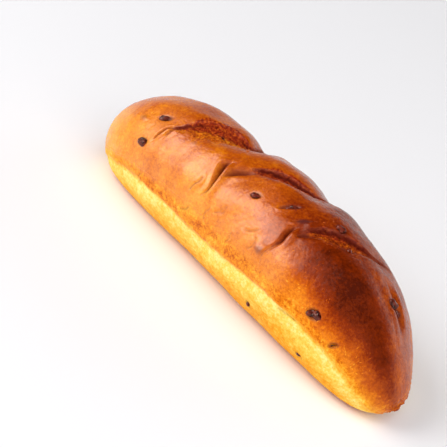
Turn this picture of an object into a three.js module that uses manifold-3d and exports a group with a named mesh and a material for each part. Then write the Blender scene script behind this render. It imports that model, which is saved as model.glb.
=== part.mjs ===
// A soft milk bread baton with chocolate chips: one baked loaf, slashed three times across its top,
// with the folds that the slashes leave in its front and a dent near its end.
// Millimetres, +Z up. +X runs along the loaf to its lower, sharper end, which is called the near end
// here, and -Y is the front. The loaf lies on its flat base at z = 0, under the middle of its box.

import * as THREE from 'three';
import { mergeVertices } from 'three/addons/utils/BufferGeometryUtils.js';
import Module from 'manifold-3d';

const wasm = await Module();
wasm.setup();

// ---- Driving dimensions of the loaf

const LENGTH = 200;
const WIDTH = 60;
const HEIGHT = 57;
const WIDEST_AT = 0.42; // height of the widest line, as a share of the section's height
const CORNER = [0.58, 0.77]; // share of the half width that rounds in to the flat base: far end, rest
const CORNER_FROM = [-80, -10];
const CROWN_POWER = 2.15; // superellipse powers of the section, above and below the widest line
const CORNER_POWER = 2;
const FLAT_TO = 0.8; // the base is flat over this share of the length
const NARROWING = 0.03; // the loaf loses this share of its half width to the near end,
const RISE = 0.08; // and its crown gains this share of its height

// Each end: height of its tip, and the powers that round it in plan and in side view.
const FAR_END = { tip: 16, plan: [3.9, 0.42], side: [3.6, 0.56] };
const NEAR_END = { tip: 10, plan: [3.3, 0.48], side: [2.8, 0.74] };

// ---- Crust

const MM_PER_DEGREE = 0.53; // distance over the crown for each degree round from its ridge
const VALLEY_REACH = 11; // the broad dip round a cut
const THINNEST_CUT = 4;
const SWELL = 0.9; // how far the crust stands proud between the slashes
const UNEVEN = 0.2; // height of each of the crust's slow waves
const WAVES = 6;
// Lower edge of the browned crust: its height at the far half and the near half, and its ends.
const BORDER = { heights: [23, 27.4], from: [-15, 42], far: [3.6, 1], near: [6, 1.1] };
const STEP = 0.7; // the pale band under the crust is set back by this much
const CRAGS = { height: 1.4, from: 90, below: 14 }; // torn crumb at the foot of the near end's back

// Broad rises and hollows: x, degrees round from the ridge, reach along, reach round, height.
const SWELLS = [[-46, 42, 20, 17, -1.7], [12, 45, 8, 12, -0.8], [62, 44, 11, 12, 0.9]];

// The cuts. Each station is a place on the crown (x, and degrees round from the ridge, negative at
// the front), then the open width, the depth, the height of the near lip and the depth of the valley.
const SLASHES = [
  [[-57, -43, 0.8, 0.2, 0.1, 0.3], [-54, -38, 1.8, 1.2, 0.3, 0.8], [-50, -33, 4.6, 1.9, 0.1, 1.6],
    [-46, -24, 9.0, 2.3, 0.0, 2.0], [-42.5, -14, 12.0, 2.5, 0.0, 2.4], [-38.5, -6, 12.0, 2.6, 0.0, 3.0],
    [-34, 0, 10.0, 2.5, 0.0, 3.8], [-30, 5, 7.5, 2.2, 0.0, 4.8], [-27, 11, 6.0, 1.6, 0.0, 5.6],
    [-26, 19, 6.0, 0.9, 0.0, 6.0], [-27, 30, 6.0, 0.4, 0.0, 5.8], [-29, 44, 5.0, 0.2, 0.0, 4.4],
    [-32, 60, 5.0, 0.0, 0.0, 1.6]],
  [[-10, -23, 2.0, 0.5, 0.2, 1.0], [-7.5, -16, 4.4, 1.8, 0.3, 1.6], [-4, -8, 5.4, 2.4, 0.4, 2.0],
    [0, -2, 5.8, 2.8, 0.5, 2.2], [4, 3, 5.8, 2.8, 0.5, 2.6], [8, 7, 5.4, 2.6, 0.5, 3.0],
    [12, 10, 5.4, 2.2, 0.4, 3.4], [15, 15, 5.0, 1.2, 0.2, 3.6], [16.5, 22, 5.0, 0.6, 0.1, 3.6],
    [17, 32, 5.0, 0.3, 0.0, 3.2], [16, 44, 5.0, 0.1, 0.0, 2.4], [14, 58, 5.0, 0.0, 0.0, 0.8]],
  [[31.5, -36, 1.2, 0.6, 0.1, 0.4], [34, -31, 3.4, 1.8, 0.1, 1.0], [37, -23, 6.0, 2.2, 0.1, 1.6],
    [40.5, -14, 7.6, 2.4, 0.1, 1.8], [44.5, -7, 7.8, 2.4, 0.1, 1.8], [48, 1, 6.8, 2.2, 0.1, 1.8],
    [51, 9, 5.0, 2.0, 0.1, 1.8], [53, 17, 3.4, 1.6, 0.2, 1.8], [55, 26, 2.4, 1.2, 0.3, 1.8],
    [57, 37, 1.8, 0.8, 0.3, 1.4], [58, 50, 0.8, 0.2, 0.0, 0.4]],
];

// Folds, which sink slowly from their far side, and the dent near the end.
const FOLDS = [
  [[-20, -67, 5, 0.1, 0.0, 0.0], [-15.5, -60, 5, 0.8, 0.5, 0.6], [-16.5, -50, 6, 1.4, 0.9, 1.2],
    [-18, -40, 6, 1.8, 1.1, 1.2], [-18.5, -31, 6, 1.0, 0.7, 0.6], [-18.2, -25, 5, 0.1, 0.1, 0.0]],
  [[-14.6, -44, 5, 0.2, 0.1, 0.2], [-12.5, -34, 6, 1.0, 0.4, 1.2], [-8.5, -23, 6, 1.2, 0.4, 1.6],
    [-3, -13, 5, 0.3, 0.1, 0.6]],
  [[24.5, -70, 5, 0.1, 0.0, 0.0], [26.5, -60, 5, 0.7, 0.4, 0.4], [28, -50, 6, 1.1, 0.7, 0.8],
    [28.8, -41, 6, 1.4, 0.9, 0.8], [29.5, -34, 5, 0.5, 0.4, 0.2], [30, -29, 5, 0.1, 0.0, 0.0]],
  [[33, -47, 5, 0.2, 0.1, 0.2], [32.8, -38, 6, 0.8, 0.3, 1.0], [36, -29, 6, 0.8, 0.3, 1.2],
    [40, -20, 5, 0.1, 0.0, 0.2]],
  [[60, 1, 5, 0.1, 0.0, 0.2], [65, 8, 5, 0.7, 0.3, 0.6], [70, 13, 5, 1.1, 0.5, 1.0],
    [75, 17, 5, 1.3, 0.5, 1.2], [80, 20, 5, 1.0, 0.4, 1.0], [85, 23, 5, 0.5, 0.2, 0.6],
    [89, 26, 5, 0.1, 0.0, 0.0]],
];

// Chocolate chips at the front and on the ridge: x, degrees round from the ridge, length, width and
// turn in degrees. Past 90 degrees a chip is below the widest line.
const FRONT_CHIPS = [
  [-62, -63, 5.0, 4.0, 20], [-62, -33, 5.5, 3.6, 80], [-71, -45, 3.6, 3.0, 0],
  [-38, -9, 4.0, 3.0, 40], [4, -36, 4.4, 3.4, 30], [18, -23, 4.6, 3.0, 70],
  [27, -23, 4.6, 3.2, 60], [38, 0, 4.4, 3.4, 30], [49, -5, 2.6, 2.2, 0],
  [50, 31, 3.6, 2.8, 20], [59, -65, 6.4, 5.2, 60], [72, -71, 4.6, 2.6, 75],
  [73, 14, 5.4, 3.6, 100], [77, 20, 4.6, 3.2, 60], [28, -119, 2.6, 2.2, 0],
  [61, -117, 3.4, 2.4, 20],
];
const CHIP = { high: 3.4, proud: 0.5 }; // thickness, and how far a chip's middle stands out
const BACK_CHIPS = { count: 12, from: 56, to: 82, reach: 84 }; // spread over the back of the crown

// ---- Mesh sizes

const RINGS = 114; // sections along the length
const CROWN_STEPS = 30; // steps from the front's widest line over the ridge to the back's
const CORNER_STEPS = 4; // steps from a widest line down to the flat base
const BASE_STEPS = 4;
const SLANT = 22; // the sections lean along the slashes by this much

// ---- Helpers

const { clamp, lerp, smoothstep, degToRad } = THREE.MathUtils;
const bump = (value, reach) => Math.exp(-((value / reach) ** 2));

// Repeatable number from 0 to 1 for the n-th draw.
const draw = (n) => {
  const value = Math.sin(n * 127.1 + 11.7) * 43758.5453;
  return value - Math.floor(value);
};

// ---- Plain form of the loaf

const endAt = (x) => (x < 0 ? FAR_END : NEAR_END);
const roundOff = (share, [power, root]) => Math.max(1 - Math.abs(share) ** power, 0) ** root;

function sectionAt(x) {
  const share = clamp(x / (LENGTH / 2), -1, 1);
  const end = endAt(x);
  const half = (WIDTH / 2) * roundOff(share, end.plan) * (1 - NARROWING * share);
  const top = end.tip + (HEIGHT - end.tip) * roundOff(share, end.side) * (1 + RISE * share);
  const lift = Math.max((Math.abs(share) - FLAT_TO) / (1 - FLAT_TO), 0);
  const bottom = end.tip * (1 - Math.sqrt(1 - lift * lift));
  const corner = half * lerp(...CORNER, smoothstep(x, ...CORNER_FROM));
  return { half, top, bottom, middle: lerp(bottom, top, WIDEST_AT), corner };
}

// Unit superellipse point at an angle from its first axis.
function superPoint(angle, power) {
  const across = Math.cos(angle);
  const up = Math.sin(angle);
  const size = (Math.abs(across) ** power + Math.abs(up) ** power) ** (-1 / power);
  return [across * size, up * size];
}

// Stops round a section, in degrees from the ridge: 90 at the back's widest line, 180 where the flat
// base starts, and below the base only a share of its width, from back to front.
function ringStops() {
  const stops = [];
  for (let k = 0; k < CROWN_STEPS; k += 1) stops.push({ degrees: -90 + (180 * k) / CROWN_STEPS });
  for (let k = 0; k <= CORNER_STEPS; k += 1) stops.push({ degrees: 90 + (90 * k) / CORNER_STEPS });
  for (let k = 1; k < BASE_STEPS; k += 1) stops.push({ degrees: 180, across: 1 - (2 * k) / BASE_STEPS });
  for (let k = CORNER_STEPS; k > 0; k -= 1) stops.push({ degrees: -90 - (90 * k) / CORNER_STEPS });
  stops.forEach((stop, index) => {
    stop.lean = Math.sin((2 * Math.PI * (index - CROWN_STEPS / 2)) / stops.length);
  });
  return stops;
}

function plainPoint(x, degrees, across) {
  const { half, top, bottom, middle, corner } = sectionAt(x);
  if (across !== undefined) return new THREE.Vector3(x, across * (half - corner), bottom);
  if (Math.abs(degrees) <= 90) {
    const [out, up] = superPoint(degToRad(90 - degrees), CROWN_POWER);
    return new THREE.Vector3(x, half * out, middle + (top - middle) * up);
  }
  const [out, down] = superPoint(degToRad(Math.abs(degrees) - 90), CORNER_POWER);
  const y = Math.sign(degrees) * (half - corner + corner * out);
  return new THREE.Vector3(x, y, middle - (middle - bottom) * down);
}

// ---- Relief of the crust

// A cut's centre line as short straight pieces over the unrolled crown, with its sizes along it.
function cutLine(stations) {
  const places = stations.map(([x, degrees]) => new THREE.Vector3(x, degrees * MM_PER_DEGREE, 0));
  const curve = new THREE.CatmullRomCurve3(places, false, 'centripetal');
  const pieces = 6 * (stations.length - 1);
  const line = [];
  for (let k = 0; k <= pieces; k += 1) {
    const along = (k / pieces) * (stations.length - 1);
    const from = Math.min(Math.floor(along), stations.length - 2);
    const size = (column) => lerp(stations[from][column], stations[from + 1][column], along - from);
    const open = Math.max(size(2), THINNEST_CUT);
    line.push({ point: curve.getPoint(k / pieces), open, depth: size(3), lip: size(4), valley: size(5) });
  }
  return line;
}

const slashLines = SLASHES.map(cutLine);
const foldLines = FOLDS.map(cutLine);

// Nearest place on a cut, with the signed distance across it, positive towards the near end.
function nearestOnCut(line, x, over) {
  let best = { far: Infinity };
  for (let k = 0; k + 1 < line.length; k += 1) {
    const { point: start } = line[k];
    const { point: end } = line[k + 1];
    const runX = end.x - start.x;
    const runY = end.y - start.y;
    const run = runX * runX + runY * runY;
    const part = clamp(((x - start.x) * runX + (over - start.y) * runY) / run, 0, 1);
    const gapX = x - (start.x + part * runX);
    const gapY = over - (start.y + part * runY);
    const far = Math.hypot(gapX, gapY);
    if (far < best.far) {
      const side = gapX * runY - gapY * runX >= 0 ? 1 : -1;
      const size = (name) => lerp(line[k][name], line[k + 1][name], part);
      const [open, depth, lip, valley] = ['open', 'depth', 'lip', 'valley'].map(size);
      best = { far, share: (side * far) / open + 0.5, depth, lip, valley };
    }
  }
  return best;
}

const valleyRelief = (far, depth) => (
  -depth * (0.6 * bump(far, VALLEY_REACH) + 0.4 * bump(far, VALLEY_REACH / 2))
);

// Across a slash: a steep wall at the far lip, a torn slope that rises again, and the near lip.
function slashRelief(line, x, over) {
  const { far, share, depth, lip, valley } = nearestOnCut(line, x, over);
  const cut = smoothstep(share, -0.1, 0.2) * (1 - smoothstep(share, 0.1, 1.1));
  return lip * bump(share - 1.15, 0.35) - depth * cut + valleyRelief(far, valley);
}

// Across a fold: it sinks slowly from the far side and rises steeply to the ridge of its near side.
function foldRelief(line, x, over) {
  const { far, share, depth, lip, valley } = nearestOnCut(line, x, over);
  const cut = smoothstep(share, -1, 0.4) * (1 - smoothstep(share, 0.45, 1.2));
  return lip * bump(share - 1.35, 0.45) - depth * cut + valleyRelief(far, valley);
}

const swellRelief = (x, over) => SWELLS.reduce((sum, [middle, degrees, along, round, rise]) => (
  sum + rise * bump(x - middle, along) * bump(over - degrees * MM_PER_DEGREE, round)
), 0);

function waves(x, over) {
  let height = 0;
  for (let k = 1; k <= WAVES; k += 1) {
    const heading = 2.4 * k;
    const pitch = 52 - 6 * k;
    const along = (x * Math.cos(heading) + over * Math.sin(heading)) / pitch;
    height += UNEVEN * Math.sin(2 * Math.PI * along + 1.7 * k * k);
  }
  return height;
}

function borderHeight(x) {
  const share = clamp(x / (LENGTH / 2), -1, 1);
  const height = lerp(...BORDER.heights, smoothstep(x, ...BORDER.from));
  return height * roundOff(share, x < 0 ? BORDER.far : BORDER.near);
}

// Torn crumb at the foot of the near end, towards the back.
function cragRelief(point) {
  const place = smoothstep(point.x, CRAGS.from, CRAGS.from + 6) * smoothstep(point.y, -4, 6);
  const low = 1 - smoothstep(point.z, CRAGS.below - 4, CRAGS.below);
  return CRAGS.height * place * low * (draw(Math.round(3 * point.y) + 31 * Math.round(3 * point.z)) - 0.4);
}

function reliefAt(point, degrees) {
  const foot = smoothstep(point.z, 1, 9);
  const inner = smoothstep(95 - Math.abs(point.x), 0, 25);
  const shoulder = 1 - smoothstep(Math.abs(degrees), 62, 90);
  const over = degrees * MM_PER_DEGREE;
  const setBack = STEP * (1 - smoothstep(point.z - borderHeight(point.x), -1.5, 0.5));
  const slashes = slashLines.reduce((sum, line) => sum + slashRelief(line, point.x, over), 0);
  const folds = foldLines.reduce((sum, line) => sum + foldRelief(line, point.x, over), 0);
  const swollen = inner * (SWELL * shoulder + waves(point.x, over)) + swellRelief(point.x, over);
  return foot * (swollen - setBack + cragRelief(point)) + shoulder * slashes + folds;
}

// ---- Solids

// Closed shell of rings, one array of points each, joined to a single point at each end.
function shellGeometry(rings, first, last) {
  const count = rings[0].length;
  const points = [first, ...rings.flat(), last];
  const at = (ring, k) => 1 + ring * count + (k % count);
  const faces = [];
  for (let k = 0; k < count; k += 1) {
    faces.push(0, at(0, k), at(0, k + 1));
    faces.push(points.length - 1, at(rings.length - 1, k + 1), at(rings.length - 1, k));
    for (let ring = 0; ring + 1 < rings.length; ring += 1) {
      faces.push(at(ring, k), at(ring + 1, k + 1), at(ring, k + 1));
      faces.push(at(ring, k), at(ring + 1, k), at(ring + 1, k + 1));
    }
  }
  const geometry = new THREE.BufferGeometry().setFromPoints(points);
  geometry.setIndex(faces);
  return geometry;
}

function loafGeometry() {
  const stops = ringStops();
  const plain = [];
  for (let ring = 1; ring < RINGS; ring += 1) {
    const share = Math.sin((Math.PI / 2) * ((2 * ring) / RINGS - 1));
    const lean = SLANT * (1 - share * share);
    plain.push(stops.map((stop) => (
      plainPoint((share * LENGTH) / 2 + lean * stop.lean, stop.degrees, stop.across)
    )));
  }
  const rings = plain.map((ring, i) => ring.map((point, k) => {
    const before = plain[Math.max(i - 1, 0)][k];
    const after = plain[Math.min(i + 1, plain.length - 1)][k];
    const left = ring[(k + ring.length - 1) % ring.length];
    const right = ring[(k + 1) % ring.length];
    const normal = after.clone().sub(before).cross(right.clone().sub(left)).normalize();
    return point.clone().addScaledVector(normal, reliefAt(point, stops[k].degrees));
  }));
  const first = new THREE.Vector3(-LENGTH / 2, 0, FAR_END.tip);
  const last = new THREE.Vector3(LENGTH / 2, 0, NEAR_END.tip);
  return shellGeometry(rings, first, last);
}

function toSolid(geometry) {
  const merged = geometry.clone();
  merged.deleteAttribute('normal');
  merged.deleteAttribute('uv');
  const shared = mergeVertices(merged, 1e-4);
  return new wasm.Manifold(new wasm.Mesh({
    numProp: 3,
    vertProperties: new Float32Array(shared.attributes.position.array),
    triVerts: new Uint32Array(shared.index.array),
  }));
}

function toGeometry(solid) {
  const mesh = solid.getMesh();
  const geometry = new THREE.BufferGeometry();
  geometry.setAttribute('position', new THREE.BufferAttribute(mesh.vertProperties.slice(), 3));
  geometry.setIndex(new THREE.BufferAttribute(mesh.triVerts.slice(), 1));
  return geometry;
}

// Place, outward direction and lengthwise direction on the finished crust.
function crustPlace(x, degrees) {
  const point = plainPoint(x, degrees);
  const along = plainPoint(x + 1, degrees).sub(plainPoint(x - 1, degrees)).normalize();
  const round = plainPoint(x, degrees + 1).sub(plainPoint(x, degrees - 1));
  const normal = along.clone().cross(round).normalize();
  point.addScaledVector(normal, reliefAt(point, degrees));
  return { point, normal, along };
}

// A chip lies in the crust like a lentil, its facets a little uneven.
function chipGeometry([x, degrees, long, wide, turn], seed) {
  const { point, normal, along } = crustPlace(x, degrees);
  const side = normal.clone().cross(along);
  const geometry = new THREE.OctahedronGeometry(1, 1);
  const corners = geometry.attributes.position;
  const corner = new THREE.Vector3();
  for (let k = 0; k < corners.count; k += 1) {
    corner.fromBufferAttribute(corners, k);
    const uneven = 1 + 0.12 * Math.sin(3 * corner.x + 5 * corner.y + 4 * corner.z + seed);
    corner.multiplyScalar(uneven);
    corners.setXYZ(k, corner.x, corner.y, corner.z);
  }
  geometry.scale(long / 2, wide / 2, CHIP.high / 2);
  geometry.rotateZ(degToRad(turn));
  point.addScaledVector(normal, CHIP.proud - CHIP.high / 2);
  geometry.applyMatrix4(new THREE.Matrix4().makeBasis(along, side, normal).setPosition(point));
  return geometry;
}

// The back of the crown has chips too, spread evenly with a little scatter.
function backChips() {
  const { count, from, to, reach } = BACK_CHIPS;
  return Array.from({ length: count }, (_, k) => {
    const x = lerp(-reach, reach, (k + 0.5 + 0.5 * (draw(k) - 0.5)) / count);
    const degrees = lerp(from, to, (k * 0.618 + 0.2 * draw(k + 40)) % 1);
    return [x, degrees, lerp(3.6, 5.8, draw(k + 80)), lerp(2.8, 4.2, draw(k + 120)), 180 * draw(k + 160)];
  });
}

// ---- The loaf, with its chips baked in, moved to stand under the middle of its box

function makeLoaf() {
  const chips = [...FRONT_CHIPS, ...backChips()].map(chipGeometry);
  const solid = chips.reduce((whole, chip) => whole.add(toSolid(chip)), toSolid(loafGeometry()));
  const geometry = toGeometry(solid);
  geometry.computeBoundingBox();
  const { min, max } = geometry.boundingBox;
  geometry.translate(-(min.x + max.x) / 2, -(min.y + max.y) / 2, -min.z);
  const crust = new THREE.MeshStandardMaterial({ color: 0xc0702a, roughness: 0.4, metalness: 0 });
  const loaf = new THREE.Mesh(geometry, crust);
  loaf.name = 'loaf';
  return loaf;
}

const group = new THREE.Group();
group.add(makeLoaf());

export default group;
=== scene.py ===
# A soft milk bread baton with chocolate chips, dressed over its solid.
import math

import bpy
import numpy as np
from mathutils import Matrix, Vector


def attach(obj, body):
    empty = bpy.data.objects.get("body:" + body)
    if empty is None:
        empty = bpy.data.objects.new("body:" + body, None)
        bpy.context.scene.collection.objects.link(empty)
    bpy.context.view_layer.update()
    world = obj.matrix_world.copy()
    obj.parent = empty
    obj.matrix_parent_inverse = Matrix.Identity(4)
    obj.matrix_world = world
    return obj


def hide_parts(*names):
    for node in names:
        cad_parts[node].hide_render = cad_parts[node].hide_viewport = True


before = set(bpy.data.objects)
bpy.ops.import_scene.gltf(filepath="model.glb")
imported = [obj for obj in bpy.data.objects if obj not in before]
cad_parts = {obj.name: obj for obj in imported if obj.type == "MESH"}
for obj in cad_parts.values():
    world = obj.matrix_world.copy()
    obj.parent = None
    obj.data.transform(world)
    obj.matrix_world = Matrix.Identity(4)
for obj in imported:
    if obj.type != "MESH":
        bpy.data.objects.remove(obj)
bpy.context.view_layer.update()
mm = 0.001  # shapes are worked out in millimetres and made in metres

camera = {
    "azimuth": 39.0,  # degrees, 0 looks along +Y
    "elevation": 32.0,
    "roll": -21.86,
    "distance": 700.0,
    "aimHeight": 22.0,
    "pixelsPerMm": 2.26,  # at the aim point, in the 447 pixel frame
    "aimPixel": (257.86, 237.92),  # where the aim point shows in the frame
    "framePixels": 447.0,
}


def addCamera(c):
    az, el, roll = (math.radians(c[name]) for name in ("azimuth", "elevation", "roll"))
    back = Vector((math.sin(az) * math.cos(el), -math.cos(az) * math.cos(el), math.sin(el)))
    level = Vector((math.cos(az), math.sin(az), 0))
    tilted = back.cross(level)
    right = level * math.cos(roll) - tilted * math.sin(roll)
    up = level * math.sin(roll) + tilted * math.cos(roll)
    middle = c["framePixels"] / 2
    offRight = (c["aimPixel"][0] - middle) / c["pixelsPerMm"]
    offUp = (middle - c["aimPixel"][1]) / c["pixelsPerMm"]
    place = Vector((0, 0, c["aimHeight"])) + back * c["distance"] - right * offRight - up * offUp
    data = bpy.data.cameras.new("camera")
    data.sensor_width = 36
    data.lens = 36 * c["pixelsPerMm"] * c["distance"] / c["framePixels"]
    data.clip_start = 0.01
    item = bpy.data.objects.new("camera", data)
    turn = Matrix((right, up, back)).transposed().to_4x4()
    item.matrix_world = Matrix.Translation(place * mm) @ turn
    bpy.context.scene.collection.objects.link(item)
    bpy.context.scene.camera = item


addCamera(camera)

# the plain form, as the solid has it
loaf = {
    "length": 200.0,
    "width": 60.0,
    "height": 57.0,
    "widestAt": 0.42,  # share of the section's height
    "corner": (0.58, 0.77),  # share of the half width that rounds in below, far end and the rest
    "cornerFrom": (-80.0, -10.0),
    "crownPower": 2.15,
    "cornerPower": 2.0,
    "flatTo": 0.8,  # the base is flat over this share of the length
    "narrowing": 0.03,
    "rise": 0.08,
    "farEnd": {"tip": 16.0, "plan": (3.9, 0.42), "side": (3.6, 0.56)},
    "nearEnd": {"tip": 10.0, "plan": (3.3, 0.48), "side": (2.8, 0.74)},
    "mmPerDegree": 0.53,  # over the crust, down to the widest line
    "mmPerDegreeBelow": 0.37,
    "slant": 22.0,  # the sections lean along the slashes by this much
    "lengthSteps": 412,
    "crownSteps": 176,
    "cornerSteps": 20,
    "baseSteps": 24,
}


def blend(low, high, share):
    return low + (high - low) * share


def smooth(value, low, high):
    share = np.clip((value - low) / (high - low), 0, 1)
    return share * share * (3 - 2 * share)


def bump(value, reach):
    return np.exp(-((value / reach) ** 2))


def roundOff(share, powers):
    return np.maximum(1 - np.abs(share) ** powers[0], 0) ** powers[1]


# one of the powers that round the far end or the near end
def byEnd(x, name, part):
    return np.where(x < 0, loaf["farEnd"][name][part], loaf["nearEnd"][name][part])


# half width, top, bottom, height of the widest line, and how far in the lower corner rounds
def sectionAt(x):
    share = np.clip(x / (loaf["length"] / 2), -1, 1)
    tip = np.where(x < 0, loaf["farEnd"]["tip"], loaf["nearEnd"]["tip"])
    plan = roundOff(share, (byEnd(x, "plan", 0), byEnd(x, "plan", 1)))
    side = roundOff(share, (byEnd(x, "side", 0), byEnd(x, "side", 1)))
    half = loaf["width"] / 2 * plan * (1 - loaf["narrowing"] * share)
    top = tip + (loaf["height"] - tip) * side * (1 + loaf["rise"] * share)
    lift = np.maximum((np.abs(share) - loaf["flatTo"]) / (1 - loaf["flatTo"]), 0)
    bottom = tip * (1 - np.sqrt(1 - lift ** 2))
    middle = blend(bottom, top, loaf["widestAt"])
    corner = half * blend(*loaf["corner"], smooth(x, *loaf["cornerFrom"]))
    return half, top, bottom, middle, corner


# point of a superellipse of size 1
def superPoint(angle, power):
    across, up = np.cos(angle), np.sin(angle)
    size = (np.abs(across) ** power + np.abs(up) ** power) ** (-1 / power)
    return across * size, up * size


# degrees run from the ridge (0) to the widest line (90) and the edge of the flat base (180);
# from there to 200 they cross half of the base
def plainPoint(x, degrees):
    half, top, bottom, middle, corner = sectionAt(x)
    turn, side = np.abs(degrees), np.sign(degrees)
    out, up = superPoint(np.radians(90 - np.minimum(turn, 90)), loaf["crownPower"])
    crownY, crownZ = half * out, middle + (top - middle) * up
    out, down = superPoint(np.radians(np.clip(turn - 90, 0, 90)), loaf["cornerPower"])
    cornerY, cornerZ = half - corner + corner * out, middle - (middle - bottom) * down
    baseY = (half - corner) * np.clip((200 - turn) / 20, 0, 1)
    y = np.where(turn <= 90, crownY, np.where(turn <= 180, cornerY, baseY))
    z = np.where(turn <= 90, crownZ, np.where(turn <= 180, cornerZ, bottom))
    return np.stack((x + 0 * y, side * y, z), -1)


# distance over the crust from the ridge, signed like the degrees
def overCrust(degrees):
    turn = np.abs(degrees)
    crown = loaf["mmPerDegree"] * np.minimum(turn, 90)
    below = loaf["mmPerDegreeBelow"] * np.maximum(turn - 90, 0)
    return np.sign(degrees) * (crown + below)


# a repeatable number from 0 to 1 for each cell of space
def lattice(cells, seed):
    a, b, c = (cells[..., k].astype(np.int64) for k in range(3))
    mixed = (a * 374761393 + b * 668265263 + c * 1274126177 + seed * 974634777) & 0xFFFFFFFF
    mixed = ((mixed ^ (mixed >> 13)) * 1103515245) & 0xFFFFFFFF
    return ((mixed ^ (mixed >> 16)) & 0xFFFFFF) / float(0xFFFFFF)


# smooth noise from -1 to 1 over points, with the given size of lump
def softNoise(points, size, seed):
    scaled = points / size
    cell = np.floor(scaled)
    part = scaled - cell
    part = part * part * (3 - 2 * part)
    total = 0
    for corner in range(8):
        step = np.array([(corner >> k) & 1 for k in range(3)])
        weight = np.prod(np.where(step == 1, part, 1 - part), axis=-1)
        total = total + weight * lattice(cell + step, seed)
    return 2 * total - 1


# each layer has half the lump and half the height of the one before
def layeredNoise(points, size, seed, layers=3):
    total = 0
    for k in range(layers):
        total = total + softNoise(points, size / 2 ** k, seed + 31 * k) / 2 ** k
    return total / 1.6


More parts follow.
